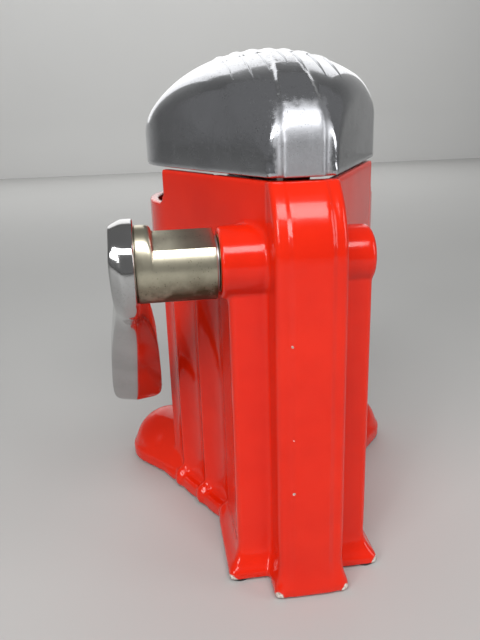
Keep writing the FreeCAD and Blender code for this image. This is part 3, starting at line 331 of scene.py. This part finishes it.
FINISHES = {
    "red_enamel": red_enamel(),
    "dome_chrome": chrome("dome_chrome", (0.56, 0.57, 0.6), pitted=1.0, worn=rubbed_band),
    "lever_chrome": chrome("lever_chrome", (0.52, 0.52, 0.52), pitted=0.6),
    "hub_nickel": hub_nickel(),
    "foot_rubber": foot_rubber(),
}
FINISHES.update((row[0], plain_metal(*row)) for row in PLAIN_METALS)
FINISHES.update((row[0], spun(*row)) for row in SPUN_METALS)
for row in frame["record"]["subparts"]:
    node = frame["nodes"][row["node"]]
    node.data.materials.clear()
    node.data.materials.append(FINISHES[row["material_slot"]])


def only(*pieces):
    """Select these pieces alone; the last one is active."""
    bpy.ops.object.select_all(action="DESELECT")
    for piece in pieces:
        piece.select_set(True)
    bpy.context.view_layer.objects.active = pieces[-1]


def edit(piece, operator, **settings):
    """Run one edit mode operator on the whole of a piece."""
    only(piece)
    bpy.ops.object.mode_set(mode="EDIT")
    bpy.ops.mesh.select_all(action="SELECT")
    operator(**settings)
    bpy.ops.object.mode_set(mode="OBJECT")


def shape(piece, kind, **settings):
    """Add a modifier to a piece and apply it."""
    only(piece)
    modifier = piece.modifiers.new(kind.lower(), kind)
    for key, value in settings.items():
        setattr(modifier, key, value)
    bpy.ops.object.modifier_apply(modifier=modifier.name)


def finished(piece, body, slot, *nodes, smooth_to):
    """Shade a piece smooth up to an angle, give it its finish and its body, and let it stand
    for CAD nodes."""
    only(piece)
    bpy.ops.object.transform_apply(location=True, rotation=True, scale=True)
    bpy.ops.object.shade_smooth_by_angle(angle=math.radians(smooth_to))
    piece.data.materials.clear()
    piece.data.materials.append(FINISHES[slot])
    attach(piece, body)
    if nodes:
        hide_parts(*nodes)


def node_copy(node, name):
    """A copy of a CAD node with its loose triangles merged."""
    piece = bpy.data.objects.new(name, frame["nodes"][node].data.copy())
    bpy.context.collection.objects.link(piece)
    edit(piece, bpy.ops.mesh.remove_doubles, threshold=0.001 * MM)
    return piece


def ramp(value, start, stop):
    """0 up to start, 1 from stop on, and straight between them; start may be the larger."""
    return min(1.0, max(0.0, (value - start) / (stop - start)))


def trim(piece, place, keep):
    """Cut a piece along a flat, keep one side of it and close the cut."""
    edit(piece, bpy.ops.mesh.bisect, plane_co=[MM * c for c in place], plane_no=keep,
         clear_inner=True, use_fill=True)


def ball(name, place, radii, turn=0.0):
    """An egg shape in millimetres, turned about the upright and cut off at the stand's foot."""
    bpy.ops.object.select_all(action="DESELECT")
    bpy.ops.mesh.primitive_uv_sphere_add(
        segments=32, ring_count=20, radius=MM, location=[MM * c for c in place],
        rotation=(0, 0, turn), scale=radii)
    egg = bpy.context.object
    egg.name = name
    bpy.ops.object.transform_apply(location=True, rotation=True, scale=True)
    trim(egg, (0, 0, STAND_FOOT), (0, 0, 1))
    return egg


def rod(name, radius, start, stop):
    """A round cutter along the shaft, in millimetres."""
    bpy.ops.object.select_all(action="DESELECT")
    bpy.ops.mesh.primitive_cylinder_add(
        vertices=48, radius=radius * MM, depth=(stop - start) * MM,
        location=MM * Vector(((start + stop) / 2, SHAFT.y, SHAFT.z)),
        rotation=(0, math.radians(90), 0))
    bpy.context.object.name = name
    return bpy.context.object


def slot_block(name, place, size):
    """A square cutter in millimetres."""
    bpy.ops.object.select_all(action="DESELECT")
    bpy.ops.mesh.primitive_cube_add(size=MM, location=[MM * c for c in place], scale=size)
    bpy.context.object.name = name
    return bpy.context.object


def carve(piece, cutter):
    """Cut one shape out of a piece and throw the cutter away."""
    shape(piece, "BOOLEAN", operation="DIFFERENCE", solver="EXACT", object=cutter)
    bpy.data.objects.remove(cutter)


def drawn_out(name, rings):
    """A ball whose rings are moved onto rings of points; its poles close the two ends.

    Each ring has the same number of points, a multiple of four.
    """
    count = len(rings[0])
    bpy.ops.object.select_all(action="DESELECT")
    bpy.ops.mesh.primitive_uv_sphere_add(segments=count, ring_count=len(rings) + 1, radius=1.0)
    piece = bpy.context.object
    piece.name = piece.data.name = name
    for vertex in piece.data.vertices:
        fall = math.acos(max(-1.0, min(1.0, vertex.co.z))) / math.pi
        ring = round(fall * (len(rings) + 1)) - 1
        if 0 <= ring < len(rings):
            turn = math.atan2(vertex.co.y, vertex.co.x) / math.tau
            vertex.co = rings[ring][round(turn * count) % count]
        else:
            end = rings[min(max(ring, 0), len(rings) - 1)]
            vertex.co = sum(end, Vector()) / count
    edit(piece, bpy.ops.mesh.normals_make_consistent, inside=False)
    return piece


SHAFT = Vector((0, 50.0, 135.0))
CASTING_VOXEL = 0.8 * MM

# Stand: the casting with its edges drawn soft, knuckles under the flutes and fuller toes
STAND_FOOT = 1.0
STAND_KEPT_TRIANGLES = 0.3
SIDE_TURN = math.radians(28.0)
SIDE_ROOT = Vector((27.5, 17.0))
SIDE_OUT = Vector((math.cos(SIDE_TURN), math.sin(SIDE_TURN)))
SIDE_ALONG = Vector((-math.sin(SIDE_TURN), math.cos(SIDE_TURN)))
KNUCKLE_STEPS = (3.25, -17.25, -37.75)
KNUCKLE_OUT = 1.6
KNUCKLE_Z = 5.2
KNUCKLE_RADII = (4.8, 3.9, 6.2)
TOE = Vector((51.0, -56.0))
TOE_TURN = math.radians(40.0)
TOE_BACK = Vector((-math.sin(TOE_TURN), math.cos(TOE_TURN)))
TOE_FOOT = 5.0
TOE_R = 21.0
TOE_RISE = 20.8
TOE_SADDLE = 0.8
TOE_SADDLE_RUN = (2.0, 24.0)
TOE_ROOF_SPREAD = 1.0
BAY_HALF = 47.43

# Where the foot of the stand is softened: each FADE runs from untouched to full
TOES_OUTSIDE = 27.0
TOES_UNDER = 45.0
TOE_CREST = (20.0, 34.0)
TOE_CREST_FADE = (-27.0, -31.0)
TOE_FADE = (-36.0, -42.0)
TOE_RIM_FADE = (6.0, 11.0)
SKIRT_SOFTNESS = 0.6
SKIRT_FADE = (-28.0, -34.0)
SKIRT_TOP_FADE = (37.0, 32.0)
BACK_FROM = 40.0
BACK_SOFTNESS = 0.35
BACK_TOP_FADE = (20.0, 15.0)
BACK_RIM_FADE = (2.0, 5.0)
KNUCKLES_UNDER = 16.0
KNUCKLE_SOFTNESS = 0.45
KNUCKLE_FADE = (8.0, 5.0)


def toe_roof(x, y):
    """Height of the rounded top of a toe, which climbs back to the side wall."""
    off = Vector((abs(x), y)) - TOE
    along = off.dot(TOE_BACK)
    across = off.length if along < 0 else abs(off.cross(TOE_BACK))
    rise = TOE_RISE + TOE_SADDLE * ramp(along, *TOE_SADDLE_RUN)
    return TOE_FOOT + rise * math.sqrt(max(0.0, 1 - (across / (TOE_R + TOE_ROOF_SPREAD)) ** 2))


def foot_softness(x, y, z):
    """How strongly the toes, skirt, foot of the back and knuckles are smoothed at a place."""
    near = 0.0
    if z < TOES_UNDER and abs(x) > TOES_OUTSIDE:
        skirt = SKIRT_SOFTNESS * ramp(y, *SKIRT_FADE) * ramp(z, *SKIRT_TOP_FADE)
        near = ramp(z, *TOE_RIM_FADE) * max(ramp(y, *TOE_FADE), skirt)
    if y > BACK_FROM:
        near = BACK_SOFTNESS * ramp(z, *BACK_TOP_FADE) * ramp(z, *BACK_RIM_FADE)
    if z < KNUCKLES_UNDER:
        away = min((spot - Vector((x, y))).length for spot in knuckles)
        near = max(near, KNUCKLE_SOFTNESS * ramp(away, *KNUCKLE_FADE))
    return near


knuckles = []
stand = node_copy("stand_casting", "enamelled_stand")
stand_forms = []
for side in (1, -1):
    for step in KNUCKLE_STEPS:
        spot = SIDE_ROOT + KNUCKLE_OUT * SIDE_OUT + step * SIDE_ALONG
        knuckles.append(Vector((side * spot.x, spot.y)))
        stand_forms.append(ball("knuckle", (side * spot.x, spot.y, KNUCKLE_Z), KNUCKLE_RADII,
                                side * SIDE_TURN))
    crown = ball("toe_crown", (side * TOE.x, TOE.y, TOE_FOOT), (TOE_R, TOE_R, TOE_RISE))
    trim(crown, (side * BAY_HALF, 0, 0), (side, 0, 0))
    stand_forms.append(crown)
only(*stand_forms, stand)
bpy.ops.object.join()
shape(stand, "REMESH", mode="VOXEL", voxel_size=CASTING_VOXEL)
shape(stand, "SMOOTH", factor=0.5, iterations=2)
soft_foot = stand.vertex_groups.new(name="soft_foot")
for vertex in stand.data.vertices:
    x, y, z = (c / MM for c in vertex.co)
    if abs(x) > TOES_OUTSIDE and TOE_CREST[0] < z < TOE_CREST[1]:
        vertex.co.z += ramp(y, *TOE_CREST_FADE) * MM * min(0.0, toe_roof(x, y) - z)
    softness = foot_softness(x, y, z)
    if softness > 0:
        soft_foot.add([vertex.index], softness, "REPLACE")
shape(stand, "SMOOTH", factor=0.5, iterations=30, vertex_group="soft_foot")
shape(stand, "DECIMATE", ratio=STAND_KEPT_TRIANGLES)
finished(stand, "stand", "red_enamel", "stand_casting", smooth_to=60.0)

# Lever: one tapering bar from the head to the tip, with a spine along its back
LEVER_DROP = math.radians(41.0)
LEVER_STATIONS = (
    # reach, inner, spine from, spine to, outer, edge, crest
    (-18.0, 60.9, 61.2, 64.6, 67.8, 2.5, 4.2),
    (-16.8, 60.5, 60.8, 65.0, 69.2, 5.6, 7.6),
    (-13.0, 60.5, 60.7, 65.2, 69.6, 9.6, 12.6),
    (-7.0, 60.5, 60.7, 65.3, 69.6, 12.8, 16.7),
    (0.0, 60.5, 60.8, 65.4, 69.6, 13.8, 18.0),
    (7.0, 60.5, 61.0, 65.6, 69.6, 13.0, 16.9),
    (13.0, 60.3, 61.4, 65.8, 69.8, 11.2, 14.8),
    (19.0, 59.5, 61.9, 65.9, 70.2, 9.3, 12.5),
    (25.0, 58.3, 62.4, 66.0, 70.9, 7.7, 10.7),
    (32.0, 57.0, 62.9, 66.0, 71.8, 6.3, 9.2),
    (42.0, 55.7, 63.5, 66.0, 73.2, 5.1, 8.0),
    (54.0, 54.9, 64.2, 66.0, 74.8, 4.2, 7.2),
    (67.0, 54.6, 65.0, 66.3, 76.2, 3.5, 6.7),
    (82.0, 54.4, 65.8, 66.7, 77.4, 3.0, 6.2),
    (95.0, 54.4, 66.4, 67.1, 78.2, 2.6, 5.5),
    (104.5, 55.0, 66.8, 67.4, 78.2, 2.2, 4.6),
    (109.3, 57.0, 67.1, 67.7, 76.9, 1.9, 3.6),
    (112.3, 61.0, 67.3, 67.8, 74.4, 1.4, 2.2),
)
LEVER_STEPS = 3
LEVER_ROUNDING = 0.9
ROUNDING_SHARE = 0.25
ROUNDING_HOLD = 1.7
SCREW_SEAT_R = 5.9
SCREW_SEAT_FLOOR = 67.0
SCREW_SEAT_OPEN = 80.0


def between(rows, k, t):
    """A smooth row of numbers from row k on to the next, shaped by the rows beside them."""
    near = (rows[min(max(k + j, 0), len(rows) - 1)] for j in (-1, 0, 1, 2))
    return [0.5 * (2 * b + (c - a) * t + (2 * a - 5 * b + 4 * c - d) * t ** 2
                   + (3 * b - a - 3 * c + d) * t ** 3)
            for a, b, c, d in zip(*near)]


def lever_ring(reach, inner, spine_in, spine_out, outer, edge, crest):
    """Eight flats round the lever, each corner rounded by five points."""
    section = [Vector(corner) for corner in (
        (outer, -edge), (outer, edge), (spine_out, crest), (spine_in, crest),
        (inner, edge), (inner, -edge), (spine_in, -crest), (spine_out, -crest))]
    points = []
    for k, corner in enumerate(section):
        back, on = section[k - 1] - corner, section[(k + 1) % len(section)] - corner
        near = min(LEVER_ROUNDING, ROUNDING_SHARE * back.length, ROUNDING_SHARE * on.length)
        back, on = near * back.normalized(), near * on.normalized()
        points += [corner + ROUNDING_HOLD * back, corner + back,
                   corner + 0.25 * back + 0.25 * on,
                   corner + on, corner + ROUNDING_HOLD * on]
    drop = Matrix.Rotation(-LEVER_DROP, 3, "X")
    return [MM * (SHAFT + drop @ Vector((x, y, -reach))) for x, y in points]


lever_rows = [between(LEVER_STATIONS, k, t / LEVER_STEPS)
              for k in range(len(LEVER_STATIONS) - 1) for t in range(LEVER_STEPS)]
lever_rows.append(LEVER_STATIONS[-1])
lever = drawn_out("plated_lever", [lever_ring(*row) for row in lever_rows])
carve(lever, rod("screw_seat", SCREW_SEAT_R, SCREW_SEAT_FLOOR, SCREW_SEAT_OPEN))
finished(lever, "lever", "lever_chrome", "lever_arm", smooth_to=40.0)

# Screws: each with a slot cut across its head
SCREWS = (
    # node, body, places of the heads, size of the slot cutter
    ("lever_screw", "lever", ((69.6, 50.0, 135.0),), (2.2, 1.4, 14.0)),
    ("press_cup_screw", "head", ((0.0, -30.3, 157.9),), (12.0, 1.3, 2.2)),
    ("rack_arm_screws", "head", ((8.5, 40.0, 166.0), (-8.5, 40.0, 166.0)), (1.0, 8.0, 1.8)),
    ("rack_guide_screws", "stand", ((7.4, 22.5, 135.0), (-7.4, 22.5, 135.0)), (1.0, 1.6, 8.0)),
)
for node, body, heads, slot_size in SCREWS:
    screw = node_copy(node, "slotted_" + node)
    for head in heads:
        carve(screw, slot_block("slot_cutter", head, slot_size))
    finished(screw, body, "screw_steel", node, smooth_to=35.0)

# Hub: a turned sleeve with a flat on its upper back, and a swollen end against the lever
HUB_R = 13.4
HUB_POINTS = 48
HUB_FLAT_TURN = math.radians(15.0)
HUB_FLAT_HALF = math.radians(37.5)
HUB_SWELL = 2.7
HUB_SWELL_POWER = 4
HUB_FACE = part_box("lever_hub")[0][0] / MM
HUB_RINGS = (
    # place along the shaft, rounding at the ends, share of the swollen end
    (HUB_FACE, 0.35, 0.0), (HUB_FACE + 0.15, 0.1, 0.0), (HUB_FACE + 0.4, 0.0, 0.0),
    (HUB_FACE + 2.0, 0.0, 0.0), (48.0, 0.0, 0.0), (53.6, 0.0, 0.0), (54.1, 0.0, 0.03),
    (54.25, 0.0, 0.1), (54.4, 0.0, 0.62), (54.7, 0.0, 0.78), (55.3, 0.0, 0.9),
    (56.2, 0.0, 0.97), (57.4, 0.0, 1.0), (59.6, 0.0, 1.0), (60.2, 0.1, 1.0), (60.5, 0.5, 1.0),
)


def hub_ring(place, rounding, share):
    """One ring round the hub, between the flatted sleeve and the swollen end."""
    points = []
    for k in range(HUB_POINTS):
        turn = math.tau * k / HUB_POINTS
        from_flat = abs((turn - HUB_FLAT_TURN + math.pi) % math.tau - math.pi)
        sleeve = HUB_R
        if from_flat < HUB_FLAT_HALF:
            sleeve *= math.cos(HUB_FLAT_HALF) / math.cos(from_flat)
        end = HUB_R + HUB_SWELL * max(0.0, math.cos(from_flat)) ** HUB_SWELL_POWER
        reach = sleeve + share * (end - sleeve) - rounding
        out = Vector((place, reach * math.sin(turn), reach * math.cos(turn)))
        points.append(MM * (SHAFT + out))
    return points


hub = drawn_out("nickel_hub", [hub_ring(*row) for row in HUB_RINGS])
finished(hub, "lever", "hub_nickel", "lever_hub", smooth_to=32.0)

# Dome: the shell with its band drawn into the sides, and half-round ribs over the crown
BAND_HALF = 14.0
BAND_EDGE_REACH = 9.0
BAND_BACK_FADE = (34.0, 46.0)
DOME_RIM_TOP = 168.5
DOME_KEPT_TRIANGLES = 0.6
RIBS = (
    # place across the dome, back end
    (0.0, 36.0), (6.8, 37.5), (-6.8, 37.5), (13.6, 39.0), (-13.6, 39.0),
    (20.4, 35.0), (-20.4, 35.0),
)
RIB_FRONT = -62.0
RIB_STEPS = 40
RIB_POINTS = 12
RIB_HALF_WIDTH = 0.68
RIB_HEIGHT = 0.55
RIB_TIP = 0.25
RIB_TAPER = 6
SHORT_RIB_END = 13.0
SHORT_RIB_HEIGHT = 0.5
OVER_DOME = 300.0

dome = node_copy("dome_cover", "plated_dome")
shape(dome, "REMESH", mode="VOXEL", voxel_size=CASTING_VOXEL)
shape(dome, "SMOOTH", factor=0.5, iterations=3)
band_edges = dome.vertex_groups.new(name="band_edges")
for vertex in dome.data.vertices:
    x, y, z = (c / MM for c in vertex.co)
    softness = ramp(abs(abs(x) - BAND_HALF), BAND_EDGE_REACH, 0.0) * ramp(y, *BAND_BACK_FADE)
    if softness > 0 and z > DOME_RIM_TOP:
        band_edges.add([vertex.index], softness, "REPLACE")
shape(dome, "SMOOTH", factor=0.5, iterations=45, vertex_group="band_edges")
shape(dome, "DECIMATE", ratio=DOME_KEPT_TRIANGLES)
finished(dome, "head", "dome_chrome", "dome_cover", smooth_to=50.0)


def crown_rib(x, back):
    """A thin half-round rib from the front of the crown over to its back."""
    across = Vector((RIB_HALF_WIDTH, 0, 0))
    rings = []
    for k in range(RIB_STEPS + 1):
        y = RIB_FRONT + (back - RIB_FRONT) * k / RIB_STEPS
        _, spot, normal, _ = dome.ray_cast(MM * Vector((x, y, OVER_DOME)), Vector((0, 0, -1)))
        normal = Vector((0, normal.y, normal.z)).normalized()
        swell = min(1.0, RIB_TIP + RIB_TAPER * min(k, RIB_STEPS - k) / RIB_STEPS)
        # The solid's own short rib is under the front of this one
        middle = spot - MM * (SHORT_RIB_HEIGHT if y < SHORT_RIB_END else 0.0) * normal
        turns = [math.tau * j / RIB_POINTS for j in range(RIB_POINTS)]
        rings.append([middle + MM * swell * (math.cos(turn) * across
                                             + RIB_HEIGHT * math.sin(turn) * normal)
                      for turn in turns])
    return drawn_out("crown_rib", rings)


bpy.context.view_layer.update()
only(*[crown_rib(x, back) for x, back in RIBS])
bpy.ops.object.join()
crown_ribs = bpy.context.object
crown_ribs.name = crown_ribs.data.name = "crown_ribs"
finished(crown_ribs, "head", "dome_chrome", smooth_to=50.0)

# Studio: a pale floor and backdrop, soft lamps, and the camera behind the stand
STUDIO_SIZE = 6.0
STUDIO_SHADE = 0.96
STUDIO_PLANES = (
    # name, place, turn, colour, roughness
    ("floor", (0, 0, 0), (0, 0, 0), (0.5, 0.5, 0.49), 0.7),
    ("backdrop", (0, -1.8, 0), (math.radians(90), 0, 0), (0.7, 0.7, 0.69), 0.8),
)
LAMPS = (
    # name, place, aim, size, watts
    ("ceiling_strip", (0.05, 0.72, 0.95), (0, 0.03, 0.1), (0.9, 0.34), 9.0),
    ("key", (0.75, 0.85, 0.65), (0, 0.03, 0.1), (0.4, 0.4), 5.5),
    ("fill", (-0.95, 0.5, 0.45), (0, 0.03, 0.1), (0.4, 0.6), 2.6),
    ("front", (0.0, -1.5, 0.8), (0, 0, 0.1), (1.8, 1.2), 6.0),
    ("wash", (0.0, -0.9, 1.2), (0, -1.8, 0.9), (2.0, 0.3), 9.0),
)
WORLD_GREY = (0.5, 0.5, 0.5, 1)
WORLD_STRENGTH = 0.4
CAMERA_PLACE = Vector((53.72 * MM, 284.74 * MM, 190.44 * MM))
CAMERA_LOOK = Vector((-0.12448, -0.94083, -0.31517)).normalized()
CAMERA_ROLL = math.radians(1.85)
CAMERA_LENS = 24.21
CAMERA_SENSOR = 24.0
CAMERA_NEAREST = 0.01

for name, place, turn, colour, rough in STUDIO_PLANES:
    bpy.ops.object.select_all(action="DESELECT")
    bpy.ops.mesh.primitive_plane_add(size=STUDIO_SIZE, location=place, rotation=turn)
    plane = bpy.context.object
    plane.name = name
    paint = Paint(name)
    tone = paint.blend(paint.noise(scale=3.0).step(0.0, 1.0),
                       opaque(colour), opaque(colour, STUDIO_SHADE))
    plane.data.materials.append(paint.finish(Base_Color=tone, Roughness=rough))

for name, place, aim, size, watts in LAMPS:
    light = bpy.data.lights.new(name, "AREA")
    light.shape = "RECTANGLE"
    light.size, light.size_y = size
    light.energy = watts
    lamp = bpy.data.objects.new(name, light)
    bpy.context.collection.objects.link(lamp)
    lamp.location = place
    lamp.rotation_euler = (Vector(aim) - Vector(place)).to_track_quat("-Z", "Y").to_euler()

scene = bpy.context.scene
scene.world = bpy.data.worlds.new("studio")
scene.world.use_nodes = True
background = scene.world.node_tree.nodes["Background"]
background.inputs["Color"].default_value = WORLD_GREY
background.inputs["Strength"].default_value = WORLD_STRENGTH

level_right = CAMERA_LOOK.cross(Vector((0, 0, 1))).normalized()
level_down = CAMERA_LOOK.cross(level_right)
right = math.cos(CAMERA_ROLL) * level_right + math.sin(CAMERA_ROLL) * level_down
up = right.cross(CAMERA_LOOK)
camera_data = bpy.data.cameras.new("camera")
camera_data.sensor_fit = "VERTICAL"
camera_data.sensor_height = CAMERA_SENSOR
camera_data.lens = CAMERA_LENS
camera_data.clip_start = CAMERA_NEAREST
camera = bpy.data.objects.new("camera", camera_data)
bpy.context.collection.objects.link(camera)
facing = Matrix((right, up, -CAMERA_LOOK)).transposed().to_4x4()
camera.matrix_world = Matrix.Translation(CAMERA_PLACE) @ facing
scene.camera = camera
scene.view_settings.view_transform = "Standard"
